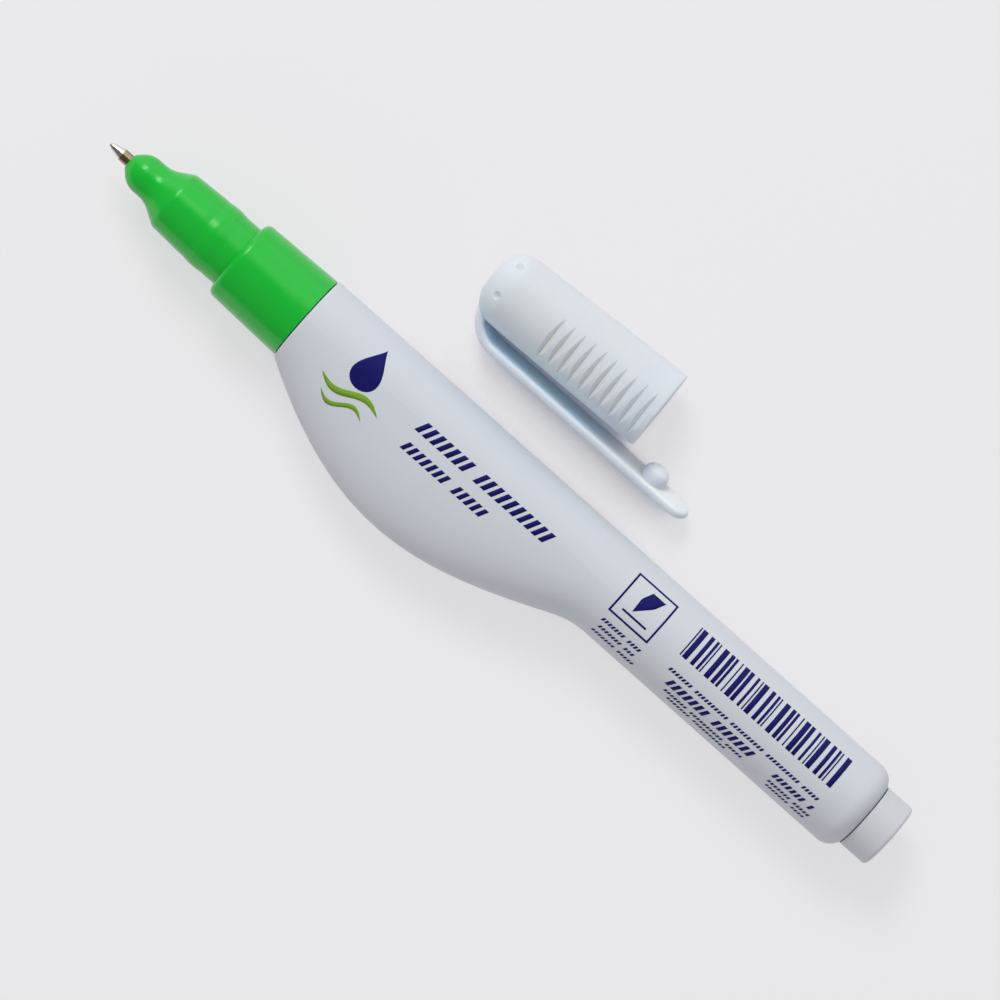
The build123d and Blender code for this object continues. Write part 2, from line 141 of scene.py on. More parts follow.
class PenPrint(bpy.types.PropertyGroup):
    """Sizes of the print; places are behind the nose and across the barrel, from its top line."""

    film: length("Film", "Thickness of the ink on the plastic", 0.03)
    sink: length("Sink", "How deep the ink reaches into the plastic", 0.02)
    drop_behind: length("Drop behind the nose", "Place of the drop along the barrel", 11.0)
    drop_across: length("Drop across", "Place of the drop round the barrel", -0.7)
    drop_height: length("Drop height", "Height of the drop", 6.4)
    drop_width: length("Drop width", "Greatest width of the drop", 4.7)
    wave_length: length("Wave length", "Length of the longer wave under the drop", 9.4)
    wave_weight: length("Wave weight", "Greatest thickness of a wave", 1.0)
    wave_bend: length("Wave bend", "How far a wave swings to each side", 0.8)
    wave_across: length("Wave across", "From the middle of the drop to the longer wave", 4.3)
    wave_gap: length("Wave gap", "From the longer wave to the shorter one", 1.8)
    wave_share: number("Wave share", "Size of the shorter wave against the longer", 0.72)
    dash_weight: number("Dash weight", "Width of a dash as a share of its pitch", 0.6)
    dash_slant: number("Dash slant", "How far a dash leans per height", 0.5)
    icon_behind: length("Icon behind the nose", "Front edge of the framed icon", 54.3)
    icon_across: length("Icon across", "Upper edge of the framed icon", -4.5)
    icon_size: length("Icon size", "Side of the icon's frame", 6.7)
    icon_line: length("Icon line", "Line thickness of the icon", 0.28)
    bars_behind: length("Bars behind the nose", "Front edge of the block of bars", 65.0)
    bars_across: length("Bars across", "Middle of the bars round the tube", -2.1)
    bars_length: length("Bars length", "Length of the block of bars", 26.4)
    bars_height: length("Bars height", "Height of the bars round the tube", 4.9)
    bars_count: IntProperty(name="Bars", description="Number of bars", min=3, default=30)


class PenStage(bpy.types.PropertyGroup):
    """Camera, light and floor."""

    view_width: length("View width", "Width of the picture at the pen's axis", 130.0)
    view_x: length("View middle X", "Point on the pen's frame in the middle of the picture", 66.9)
    view_y: length("View middle Y", "The same across the pen", 0.9)
    pen_angle: number("Pen angle", "Slope of the pen in the picture", 41.687)
    lens: number("Lens", "Focal length in millimetres", 200.0)
    sky: number("Sky", "Strength of the even light from all round", 0.48)
    key_place: place("Key place", "Place of the main softbox", (-0.03, 0.82, 0.9))
    key_size: length("Key size", "Side of the main softbox", 420.0)
    key_power: number("Key power", "Power of the main softbox in watts", 8.9)
    fill_place: place("Fill place", "Place of the softbox on the shaded side", (-0.35, -0.6, 0.5))
    fill_size: length("Fill size", "Side of that softbox", 900.0)
    fill_power: number("Fill power", "Power of that softbox in watts", 0.3)
    mirror_dark: number("Mirrored dark", "What gloss sees on the shaded side", 0.15)
    mirror_wall: number("Mirrored wall", "How much brighter it sees the lit side", 1.05)
    mirror_lamp: number("Mirrored lamp", "How much brighter still it sees the lamp", 5.0)
    floor: colour("Floor", "Pale tone of the floor", (0.83, 0.82, 0.84))
    floor_glow: number("Floor glow", "Share of the floor's tone that takes no shadow", 0.75)
    contact: colour("Contact shade", "Floor in narrow gaps under the object", (0.14, 0.18, 0.26))
    contact_reach: length("Contact reach", "How near the object that shade begins", 12.0)


def settings(context):
    """The three groups of settings."""
    scene = context.scene
    return scene.pen_colours, scene.pen_print, scene.pen_stage


# Node trees


def put(tree, kind, inputs=(), **options):
    """Adds a node; an input that is a socket gets linked, any other is set."""
    node = tree.nodes.new(kind)
    for name, value in options.items():
        setattr(node, name, value)
    for name, value in dict(inputs).items():
        if isinstance(value, bpy.types.NodeSocket):
            tree.links.new(value, node.inputs[name])
        else:
            node.inputs[name].default_value = value
    return node


def maths(tree, operation, *values):
    """A Math node's result."""
    return put(tree, "ShaderNodeMath", enumerate(values), operation=operation).outputs[0]


def vector(tree, x, y, z):
    """A vector from its three parts."""
    return put(tree, "ShaderNodeCombineXYZ", {"X": x, "Y": y, "Z": z}).outputs[0]


def parts(tree, whole):
    """The three parts of a vector."""
    return put(tree, "ShaderNodeSeparateXYZ", {0: whole}).outputs


def reach_along(tree, whole, direction):
    """How far a vector goes along a direction."""
    node = put(tree, "ShaderNodeVectorMath", {0: whole, 1: direction}, operation="DOT_PRODUCT")
    return node.outputs["Value"]


def noise(tree, size, inputs):
    """Noise on the object's own coordinates, with grains of a given size."""
    where = put(tree, "ShaderNodeTexCoord").outputs["Object"]
    options = {"Vector": where, "Scale": maths(tree, "DIVIDE", 1.0, size), **inputs}
    return put(tree, "ShaderNodeTexNoise", options).outputs["Fac"]


def new_group(name, kind, inputs, outputs):
    """A node group with named sockets, and its input and output nodes."""
    tree = bpy.data.node_groups.new(name, kind)
    for socket, socket_kind in inputs:
        tree.interface.new_socket(socket, in_out="INPUT", socket_type="NodeSocket" + socket_kind)
    for socket, socket_kind in outputs:
        tree.interface.new_socket(socket, in_out="OUTPUT", socket_type="NodeSocket" + socket_kind)
    return tree, tree.nodes.new("NodeGroupInput").outputs, tree.nodes.new("NodeGroupOutput").inputs


def moulded_skin():
    """Fine orange peel and slow flow marks of moulded plastic, built once."""
    name = "Moulded skin"
    if name in bpy.data.node_groups:
        return bpy.data.node_groups[name]
    inputs = [("Peel size", "Float"), ("Flow size", "Float")]
    outputs = [("Height", "Float"), ("Flow", "Float")]
    tree, given, result = new_group(name, "ShaderNodeTree", inputs, outputs)
    peel = noise(tree, given["Peel size"], {"Detail": 2.0, "Roughness": 0.4})
    flow = noise(tree, given["Flow size"], {"Detail": 3.0, "Distortion": 0.6})
    tree.links.new(peel, result["Height"])
    tree.links.new(flow, result["Flow"])
    return tree


def handling_marks():
    """Soft smudges that change the gloss where a hand holds the piece, built once."""
    name = "Handling marks"
    if name in bpy.data.node_groups:
        return bpy.data.node_groups[name]
    inputs, outputs = [("Smudge size", "Float")], [("Smudge", "Float")]
    tree, given, result = new_group(name, "ShaderNodeTree", inputs, outputs)
    grain = {"Detail": 4.0, "Roughness": 0.62, "Distortion": 1.4}
    smudge = noise(tree, given["Smudge size"], grain)
    limits = {"Value": smudge, "From Min": 0.42, "From Max": 0.72}
    shaped = put(tree, "ShaderNodeMapRange", limits, clamp=True)
    tree.links.new(shaped.outputs["Result"], result["Smudge"])
    return tree


def place_group(tree, group, inputs):
    """A shader group inside a material."""
    node = put(tree, "ShaderNodeGroup", node_tree=group)
    for name, value in inputs.items():
        node.inputs[name].default_value = value
    return node.outputs


def blank_material(name):
    """An empty material with its shader and node tree."""
    material = bpy.data.materials.new(name)
    material.use_nodes = True
    tree = material.node_tree
    tree.nodes.clear()
    shader = put(tree, "ShaderNodeBsdfPrincipled")
    put(tree, "ShaderNodeOutputMaterial", {"Surface": shader.outputs["BSDF"]})
    return material, tree, shader


def set_inputs(shader, values):
    """Constant values on the shader's own sockets."""
    for name, value in values.items():
        shader.inputs[name].default_value = value


def spread(tree, value, low, high):
    """Maps a 0 to 1 value to a range."""
    limits = {"Value": value, "To Min": low, "To Max": high}
    return put(tree, "ShaderNodeMapRange", limits).outputs["Result"]


def mixed(tree, factor, first, second):
    """A colour between two, each a socket or a tone."""
    node = put(tree, "ShaderNodeMix", {"Factor": factor}, data_type="RGBA")
    for socket, value in zip((s for s in node.inputs if s.type == "RGBA"), (first, second)):
        if isinstance(value, bpy.types.NodeSocket):
            tree.links.new(value, socket)
        else:
            socket.default_value = (*value, 1)
    return next(socket for socket in node.outputs if socket.type == "RGBA")


def tinted(tree, tone, factor, share):
    """A colour that drifts a little between two shares of itself."""
    dark = [part * (1 - share) for part in tone]
    light = [min(1, part * (1 + share)) for part in tone]
    return mixed(tree, factor, dark, light)


def ramp(tree, value, start, end):
    """A soft step from 0 at one value to 1 at another."""
    limits = {"Value": value, "From Min": start, "From Max": end}
    node = put(tree, "ShaderNodeMapRange", limits, interpolation_type="SMOOTHSTEP")
    return node.outputs["Result"]


# In radii of the cap's bore: what counts as clip, where the clip's painted light starts across the
# cap, and where the gap's painted shade starts along it, from the mouth inwards
CLIP_FROM = 1.4
CLIP_EDGE = (1.1, 1.25)
MOUTH_EDGE = (-0.8, 1.0)


def painted_clip_masks(tree):
    """Two masks for painted light on the cap: the clip's two faces, painted lighter, and the gap
    behind it up to the mouth, painted with a bluer shade.
    """
    bore = mounts["cap_bore"]
    mouth, axis = Vector(bore["pos_m"]), Vector(bore["axis"])
    offsets = [corner.co - mouth for corner in nodes["cap"].data.vertices]
    across = [offset - axis * offset.dot(axis) for offset in offsets]
    radius = bore["dims"]["r_mm"] * MM
    outside = [step for step in across if step.length > radius * CLIP_FROM]
    side = sum(outside, Vector()).normalized()
    ends = {0: put(tree, "ShaderNodeTexCoord").outputs["Object"], 1: mouth}
    offset = put(tree, "ShaderNodeVectorMath", ends, operation="SUBTRACT").outputs[0]
    facing = put(tree, "ShaderNodeNewGeometry").outputs["Normal"]

    def share(whole, direction, start, end):
        """A soft step on how far a vector goes along a direction."""
        return ramp(tree, reach_along(tree, whole, direction), start, end)

    on_clip = share(offset, side, *(radius * edge for edge in CLIP_EDGE))
    on_sleeve = maths(tree, "SUBTRACT", 1.0, on_clip)
    inner = maths(tree, "MULTIPLY", share(facing, -side, 0.3, 0.8), on_clip)
    outer = maths(tree, "MULTIPLY", share(facing, side, 0.1, 0.6), on_clip)
    both = maths(tree, "MULTIPLY_ADD", share(facing, side, 0.2, 0.8), on_sleeve, inner)
    gap = maths(tree, "MULTIPLY", both, share(offset, -axis, *(radius * edge for edge in MOUTH_EDGE)))
    return maths(tree, "ADD", inner, outer), gap


def bumped(tree, shader, height, depth):
    """Links a height, in millimetres at its full range, to a shader's normal."""
    inputs = {"Height": height, "Strength": 1.0, "Distance": depth * MM}
    bump = put(tree, "ShaderNodeBump", inputs)
    tree.links.new(bump.outputs["Normal"], shader.inputs["Normal"])


def plastic(name, tone, roughness, gloss, peel_size, glow=None, painted_clip_tones=()):
    """Moulded plastic: peel in the surface, flow marks in the colour, smudges in the gloss, and if
    asked painted light on the clip and painted shade behind it.
    """
    material, tree, shader = blank_material(name)
    skin = place_group(tree, moulded_skin(), {"Peel size": peel_size * MM, "Flow size": 14 * MM})
    marks = place_group(tree, handling_marks(), {"Smudge size": 9 * MM})
    bumped(tree, shader, skin["Height"], 0.006)
    shade = tinted(tree, tone, skin["Flow"], 0.025)
    # Painted light on the clip's two faces and painted bluer shade in the gap behind the clip, mixed
    # into the base colour
    if painted_clip_tones:
        for mask, painted_tone in zip(painted_clip_masks(tree), painted_clip_tones):
            shade = mixed(tree, mask, shade, painted_tone)
    dullest = roughness + 0.09
    tree.links.new(shade, shader.inputs["Base Color"])
    tree.links.new(spread(tree, marks["Smudge"], roughness, dullest), shader.inputs["Roughness"])
    set_inputs(shader, {"Specular IOR Level": gloss})
    if glow:
        depth = {"Subsurface Radius": glow, "Subsurface Scale": 2.0 * MM}
        set_inputs(shader, {"Subsurface Weight": 0.7, **depth})
    return material


def soft_rubber(name, tone):
    """Matt elastomer with a bloom on it."""
    material, tree, shader = blank_material(name)
    skin = place_group(tree, moulded_skin(), {"Peel size": 0.4 * MM, "Flow size": 3 * MM})
    bumped(tree, shader, skin["Height"], 0.01)
    tree.links.new(tinted(tree, tone, skin["Flow"], 0.06), shader.inputs["Base Color"])
    tree.links.new(spread(tree, skin["Flow"], 0.62, 0.8), shader.inputs["Roughness"])
    return material


def turned_metal(name, tone, roughness, ring_pitch, ring_depth, behind=None):
    """Lathe-turned metal with rings round the pen's axis, and another tone further back if asked."""
    material, tree, shader = blank_material(name)
    along = parts(tree, put(tree, "ShaderNodeTexCoord").outputs["Object"])["X"]
    turn = maths(tree, "DIVIDE", along, ring_pitch * MM)
    grain = {"W": turn, "Scale": 1.0, "Detail": 3.0, "Roughness": 0.6}
    rings = put(tree, "ShaderNodeTexNoise", grain, noise_dimensions="1D").outputs["Fac"]
    bumped(tree, shader, rings, ring_depth)
    worn = tinted(tree, tone, rings, 0.08)
    if behind:
        other, where, soft = behind
        worn = mixed(tree, ramp(tree, along, where - soft, where + soft), other, worn)
    dullest = roughness + 0.12
    tree.links.new(worn, shader.inputs["Base Color"])
    tree.links.new(spread(tree, rings, roughness, dullest), shader.inputs["Roughness"])
    set_inputs(shader, {"Metallic": 1.0})
    return material


def printed_ink(name, tone):
    """Screen ink: an even satin film, a little thinner here and there."""
    material, tree, shader = blank_material(name)
    skin = place_group(tree, moulded_skin(), {"Peel size": 0.16 * MM, "Flow size": 2.5 * MM})
    bumped(tree, shader, skin["Height"], 0.002)
    tree.links.new(tinted(tree, tone, skin["Flow"], 0.12), shader.inputs["Base Color"])
    tree.links.new(spread(tree, skin["Flow"], 0.42, 0.56), shader.inputs["Roughness"])
    set_inputs(shader, {"Specular IOR Level": 0.16})
    return material


def finish(node, material):
    """Gives a carried-over node its finish."""
    mesh = nodes[node].data
    mesh.materials.clear()
    mesh.materials.append(material)


def joined_copy(node):
    """A closed copy of a node's mesh, with its loose triangles joined."""
    mesh = nodes[node].data.copy()
    form = bmesh.new()
    form.from_mesh(mesh)
    bmesh.ops.remove_doubles(form, verts=form.verts, dist=JOIN_DISTANCE)
    form.to_mesh(mesh)
    form.free()
    return mesh


# Prints: flat shapes in the pen's x and y that Geometry Nodes lay on the barrel

LAY_INPUTS = [
    ("Barrel", "Object"),
    ("Wrap", "Float"),
    ("Tube radius", "Float"),
    ("Film", "Float"),
    ("Sink", "Float"),
]
ON_BELLY, ROUND_TUBE = 0.0, 1.0


def lay_on_barrel():
    """Geometry Nodes group: drops a flat mesh on the barrel and makes it a closed film."""
    name = "Lay on barrel"
    if name in bpy.data.node_groups:
        return bpy.data.node_groups[name]
    inputs = [("Geometry", "Geometry"), *LAY_INPUTS]
    tree, given, result = new_group(name, "GeometryNodeTree", inputs, [("Geometry", "Geometry")])
    flat = parts(tree, put(tree, "GeometryNodeInputPosition").outputs[0])
    wrap, radius = given["Wrap"], given["Tube radius"]
    angle = maths(tree, "MULTIPLY", maths(tree, "DIVIDE", flat["Y"], radius), wrap)
    sine, cosine = maths(tree, "SINE", angle), maths(tree, "COSINE", angle)
    reach = maths(tree, "MULTIPLY", radius, 4.0)
    sideways = maths(tree, "MULTIPLY", flat["Y"], maths(tree, "SUBTRACT", 1.0, wrap))
    across = maths(tree, "MULTIPLY_ADD", reach, sine, sideways)
    start = vector(tree, flat["X"], across, maths(tree, "MULTIPLY", reach, cosine))
    down = [maths(tree, "MULTIPLY", part, -1.0) for part in (sine, cosine)]
    inward = vector(tree, 0.0, *down)
    source = {"Object": given["Barrel"]}
    barrel = put(tree, "GeometryNodeObjectInfo", source, transform_space="ORIGINAL")
    ray = {
        "Target Geometry": barrel.outputs["Geometry"],
        "Source Position": start,
        "Ray Direction": inward,
        "Ray Length": reach,
    }
    hit = put(tree, "GeometryNodeRaycast", ray).outputs["Hit Position"]
    depth = {0: inward, "Scale": given["Sink"]}
    sunk = put(tree, "ShaderNodeVectorMath", depth, operation="SCALE").outputs[0]
    base = put(tree, "ShaderNodeVectorMath", {0: hit, 1: sunk}, operation="ADD").outputs[0]
    moved = {"Geometry": given["Geometry"], "Position": base}
    laid = put(tree, "GeometryNodeSetPosition", moved).outputs[0]
    thickness = maths(tree, "ADD", given["Film"], given["Sink"])
    film = {"Mesh": laid, "Offset Scale": thickness, "Individual": False}
    raised = put(tree, "GeometryNodeExtrudeMesh", film, mode="FACES").outputs
    underside = put(tree, "GeometryNodeFlipFaces", {"Mesh": laid}).outputs[0]
    both = put(tree, "GeometryNodeJoinGeometry", {"Geometry": underside})
    tree.links.new(raised["Mesh"], both.inputs["Geometry"])
    weld = {"Geometry": both.outputs[0], "Distance": WELD_DISTANCE}
    closed = put(tree, "GeometryNodeMergeByDistance", weld).outputs[0]
    smooth = put(tree, "FunctionNodeBooleanMath", {0: raised["Side"]}, operation="NOT").outputs[0]
    shading = {"Geometry": closed, "Shade Smooth": smooth}
    shaded = put(tree, "GeometryNodeSetShadeSmooth", shading).outputs[0]
    tree.links.new(shaded, result["Geometry"])
    return tree


def print_tree(name, inputs, make):
    """A whole print: make gives flat geometry, which is laid on the barrel and inked."""
    sockets = [("Geometry", "Geometry"), *inputs, *LAY_INPUTS, ("Ink", "Material")]
    tree, given, result = new_group(name, "GeometryNodeTree", sockets, [("Geometry", "Geometry")])
    flat = put(tree, "GeometryNodeRealizeInstances", {"Geometry": make(tree, given)}).outputs[0]
    laid = put(tree, "GeometryNodeGroup", node_tree=lay_on_barrel())
    tree.links.new(flat, laid.inputs["Geometry"])
    for socket, _ in LAY_INPUTS:
        tree.links.new(given[socket], laid.inputs[socket])
    inking = {"Geometry": laid.outputs[0], "Material": given["Ink"]}
    inked = put(tree, "GeometryNodeSetMaterial", inking).outputs[0]
    tree.links.new(inked, result["Geometry"])
    return tree


def flat_shapes(tree, given):
    """The object's own flat mesh."""
    return given["Geometry"]


def tiles(tree, given, along, width, rows, shown=True):
    """A flat tile at each counted place, cut in rows so that it can bend round the barrel."""
    points = put(tree, "GeometryNodePoints", {"Count": given["Count"]}).outputs[0]
    where = vector(tree, maths(tree, "SUBTRACT", given["Start"], along), given["Middle"], 0.0)
    placed = put(tree, "GeometryNodeSetPosition", {"Geometry": points, "Position": where})
    grid = {"Size X": 1.0, "Size Y": 1.0, "Vertices X": 2, "Vertices Y": rows}
    copies = {
        "Points": placed.outputs[0],
        "Selection": shown,
        "Instance": put(tree, "GeometryNodeMeshGrid", grid).outputs["Mesh"],
        "Scale": vector(tree, width, given["Height"], 1.0),
    }
    return put(tree, "GeometryNodeInstanceOnPoints", copies).outputs[0]


BAR_INPUTS = [
    ("Count", "Int"),
    ("Start", "Float"),
    ("Middle", "Float"),
    ("Length", "Float"),
    ("Height", "Float"),
]


def bar_block(tree, given):
    """A block of bars whose widths and gaps only vary; they stand for nothing."""
    index = put(tree, "GeometryNodeInputIndex").outputs[0]

    def varied(step, cycle, least):
        """A width that changes from bar to bar and comes round again."""
        beat = maths(tree, "MODULO", maths(tree, "MULTIPLY", index, step), cycle)
        return maths(tree, "ADD", beat, least)

    width = varied(step=7.0, cycle=4.0, least=1.0)
    gap = varied(step=5.0, cycle=3.0, least=1.2)
    sums = put(tree, "GeometryNodeAccumulateField", {0: maths(tree, "ADD", width, gap)}).outputs
    unit = maths(tree, "DIVIDE", given["Length"], sums["Total"])
    middle = maths(tree, "MULTIPLY_ADD", width, 0.5, sums["Trailing"])
    along = maths(tree, "MULTIPLY", middle, unit)
    return tiles(tree, given, along, maths(tree, "MULTIPLY", width, unit), rows=12)


DASH_INPUTS = [
    ("Count", "Int"),
    ("Start", "Float"),
    ("Middle", "Float"),
    ("Pitch", "Float"),
    ("Height", "Float"),
    ("Weight", "Float"),
    ("Slant", "Float"),
]
# One dash in each group is left out, counted from so many before the first
DASH_GROUP, DASH_LEAD = 11.0, 4.0


def dash_row(tree, given):
    """A row of even, slanted dashes in groups; they spell nothing."""
    index = put(tree, "GeometryNodeInputIndex").outputs[0]
    beat = maths(tree, "MODULO", maths(tree, "ADD", index, DASH_LEAD), DASH_GROUP)
    shown = maths(tree, "GREATER_THAN", beat, 0.5)
    along = maths(tree, "MULTIPLY", maths(tree, "ADD", index, 0.5), given["Pitch"])
    width = maths(tree, "MULTIPLY", given["Weight"], given["Pitch"])
    row = tiles(tree, given, along, width, rows=6, shown=shown)
    real = put(tree, "GeometryNodeRealizeInstances", {"Geometry": row}).outputs[0]
    across = parts(tree, put(tree, "GeometryNodeInputPosition").outputs[0])["Y"]
    height = maths(tree, "SUBTRACT", across, given["Middle"])
    shift = vector(tree, maths(tree, "MULTIPLY", height, given["Slant"]), 0.0, 0.0)
    return put(tree, "GeometryNodeSetPosition", {"Geometry": real, "Offset": shift}).outputs[0]


def patch(columns, rows, point):
    """A flat grid whose corners point(u, v) gives, u and v from 0 to 1, facing up."""
    wide = columns + 1
    corners = [
        (*point(i / columns, j / rows), 0.0) for j in range(rows + 1) for i in range(wide)
    ]
    faces = [
        (j * wide + i, j * wide + i + 1, (j + 1) * wide + i + 1, (j + 1) * wide + i)
        for j in range(rows)
        for i in range(columns)
    ]
    middle = faces[len(faces) // 2]
    a, b, c = (Vector(corners[k]) for k in middle[:3])
    if (b - a).cross(c - b).z < 0:
        faces = [tuple(reversed(face)) for face in faces]
    return corners, faces


def flat_mesh(name, patches):
    """One mesh from several patches."""
    corners, faces = [], []
    for more_corners, more_faces in patches:
        first = len(corners)
        corners += more_corners
        faces += [tuple(k + first for k in face) for face in more_faces]
    mesh = bpy.data.meshes.new(name)
    mesh.from_pydata(corners, [], faces)
    return mesh


def print_piece(context, name, mesh, tree, values, ink, wrap):
    """Runs a print's tree and keeps the result as a plain mesh that rides on the pen."""
    sizes = settings(context)[1]
    piece = bpy.data.objects.new(name, mesh)
    context.collection.objects.link(piece)
    modifier = piece.modifiers.new(name, "NODES")
    modifier.node_group = tree
    every = {
        **values,
        "Barrel": nodes["barrel"],
        "Wrap": wrap,
        "Tube radius": TUBE_RADIUS,
        "Film": sizes.film,
        "Sink": sizes.sink,
        "Ink": ink,
    }
    for item in tree.interface.items_tree:
        if item.in_out == "INPUT" and item.name in every:
            modifier[item.identifier] = every[item.name]
    context.view_layer.update()
    made = piece.evaluated_get(context.evaluated_depsgraph_get())
    plain = bpy.data.meshes.new_from_object(made)
    piece.modifiers.clear()
    piece.data = plain
    plain.name = name
    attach(piece, "pen")
    return piece


def get_ink(name, tone):
    """An ink, made on first use."""
    return bpy.data.materials.get(name) or printed_ink(name, tone)


# Forms of the drop, the waves and the icon, the last in shares of its frame
DROP_BLUNT, DROP_LEAN, DROP_FULL = 0.5, 0.8, 1.32
WAVE_TAPER = 0.7
NIB_WIDE, NIB_TAPER, NIB_LEAN, NIB_TOP, NIB_HIGH = 0.16, 1.8, 0.25, 0.16, 0.56
LINE_START, LINE_END, LINE_DOWN = 0.2, 0.8, 0.78


# Stage: places are to the right, up and towards the camera, from the middle of the picture

SENSOR_WIDTH = 36.0
FLOOR_REACH = 2.0
BRIGHT_SIDE = (0.66, 0.75, 0.0)
# Where a soft step starts and ends: on the cosine to the bright side and to the lamp, and on AO
WALL_EDGE = (0.08, 0.52)
LAMP_EDGE = (0.96, 0.99)
CONTACT_EDGE = (0.2, 0.5)


def studio_world(look, bright_side, key_side):
    """Even light from all round; gloss sees one bright side and one soft lamp instead."""
    world = bpy.data.worlds.new("studio")
    world.use_nodes = True
    tree = world.node_tree
    tree.nodes.clear()
    ray = put(tree, "ShaderNodeTexCoord").outputs["Generated"]
    wall = ramp(tree, reach_along(tree, ray, bright_side.normalized()), *WALL_EDGE)
    lamp = ramp(tree, reach_along(tree, ray, key_side.normalized()), *LAMP_EDGE)
    walls = maths(tree, "MULTIPLY_ADD", wall, look.mirror_wall, look.mirror_dark)
    mirrored = maths(tree, "MULTIPLY_ADD", lamp, look.mirror_lamp, walls)
    glossy = put(tree, "ShaderNodeLightPath").outputs["Is Glossy Ray"]
    strength = put(tree, "ShaderNodeMix", {"Factor": glossy, "A": look.sky, "B": mirrored})
    light = {"Color": (1, 1, 1, 1), "Strength": strength.outputs[0]}
    sky = put(tree, "ShaderNodeBackground", light).outputs[0]
    put(tree, "ShaderNodeOutputWorld", {"Surface": sky})
    return world


def softbox(name, middle, offset, size, power):
    """A square lamp that shines at the middle of the picture; gloss doesn't see it."""
    light = bpy.data.lights.new(name, "AREA")
    light.shape = "SQUARE"
    light.size = size
    light.energy = power
    box = bpy.data.objects.new(name, light)
    turn = offset.to_track_quat("Z", "Y").to_matrix().to_4x4()
    box.matrix_world = Matrix.Translation(middle + offset) @ turn
    box.visible_glossy = False
    return box


def floor_material(look):
    """A pale floor, darker in narrow gaps, of which only a share takes shadows in the picture."""
    material = bpy.data.materials.new("Floor")
    material.use_nodes = True
    tree = material.node_tree
    tree.nodes.clear()
    seen = put(tree, "ShaderNodeLightPath").outputs
    mirrored = maths(tree, "MAXIMUM", seen["Is Glossy Ray"], seen["Is Transmission Ray"])
    shown = maths(tree, "MAXIMUM", seen["Is Camera Ray"], mirrored)
    lit = put(tree, "ShaderNodeBsdfDiffuse", {"Color": (*look.floor, 1)}).outputs[0]
    nearby = put(tree, "ShaderNodeAmbientOcclusion", {"Distance": look.contact_reach})
    clear = ramp(tree, nearby.outputs["AO"], *CONTACT_EDGE)
    tone = mixed(tree, clear, look.contact, look.floor)
    glow = put(tree, "ShaderNodeEmission", {"Color": tone, "Strength": 1.0}).outputs[0]
    pale = put(tree, "ShaderNodeMixShader", {"Fac": look.floor_glow, 1: lit, 2: glow}).outputs[0]
    mix = put(tree, "ShaderNodeMixShader", {"Fac": shown, 1: lit, 2: pale}).outputs[0]
    put(tree, "ShaderNodeOutputMaterial", {"Surface": mix})
    return material


# Operators


class PEN_OT_body(bpy.types.Operator):
    """Finish the barrel, the tail plug and the nose"""

    bl_idname = "pen.body"
    bl_label = "Barrel, plug and nose"

    def execute(self, context):
        tones = settings(context)[0]
        # Node, material, tone, roughness, gloss, size of the peel in mm
        for node, *look in (
            ("barrel", "Barrel white", tones.barrel, 0.46, 0.34, 0.5),
            ("tail_plug", "Plug white", tones.plug, 0.46, 0.34, 0.35),
            ("nose", "Nose green", tones.nose, 0.2, 0.5, 0.45),
        ):
            finish(node, plastic(*look))
        return {"FINISHED"}


class PEN_OT_point(bpy.types.Operator):
    """Finish the writing point and the valve behind it"""

    bl_idname = "pen.point"
    bl_label = "Point and valve"

    def execute(self, context):
        tones = settings(context)[0]
        stem_end = NOSE_END + (TIP_END - NOSE_END) * STEM_SHARE
        stem = (tones.stem, stem_end, STEM_SOFT)
        # Node, material, tone, roughness, pitch and depth of the rings in mm, tone further back
        for node, *look in (
            ("writing_tip", "Point metal", tones.point, 0.16, 0.07, 0.004, stem),
            ("valve_pin", "Needle steel", tones.steel, 0.2, 0.05, 0.002),
            ("valve_spring", "Spring steel", tones.steel, 0.26, 0.2, 0.002),
            ("mixing_ball", "Ball steel", tones.steel, 0.12, 1.5, 0.001),
        ):
            finish(node, turned_metal(*look))
        bush = plastic("Bush natural", tones.bush, roughness=0.45, gloss=0.4, peel_size=0.3)
        finish("spring_seat", bush)
        coil = bpy.data.objects.new("spring_coil", joined_copy("valve_spring"))
        context.collection.objects.link(coil)
        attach(coil, "pen")
        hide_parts("valve_spring")
        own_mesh(coil)
        return {"FINISHED"}


class PEN_OT_cap(bpy.types.Operator):
    """Finish the cap and its soft seal"""

    bl_idname = "pen.cap"
    bl_label = "Cap"

    def execute(self, context):
        tones = settings(context)[0]
        # The cap's white carries painted light on the clip's faces and painted bluer shade in the gap
        # behind the clip
        white = plastic(
            "Cap white",
            tones.cap,
            roughness=0.42,
            gloss=0.34,
            peel_size=0.4,
            glow=(0.55, 0.72, 1.0),
            painted_clip_tones=(tones.clip_painted_light, tones.cast),
        )
        finish("cap", white)
        finish("cap_seal", soft_rubber("Seal rubber", tones.seal))
        return {"FINISHED"}


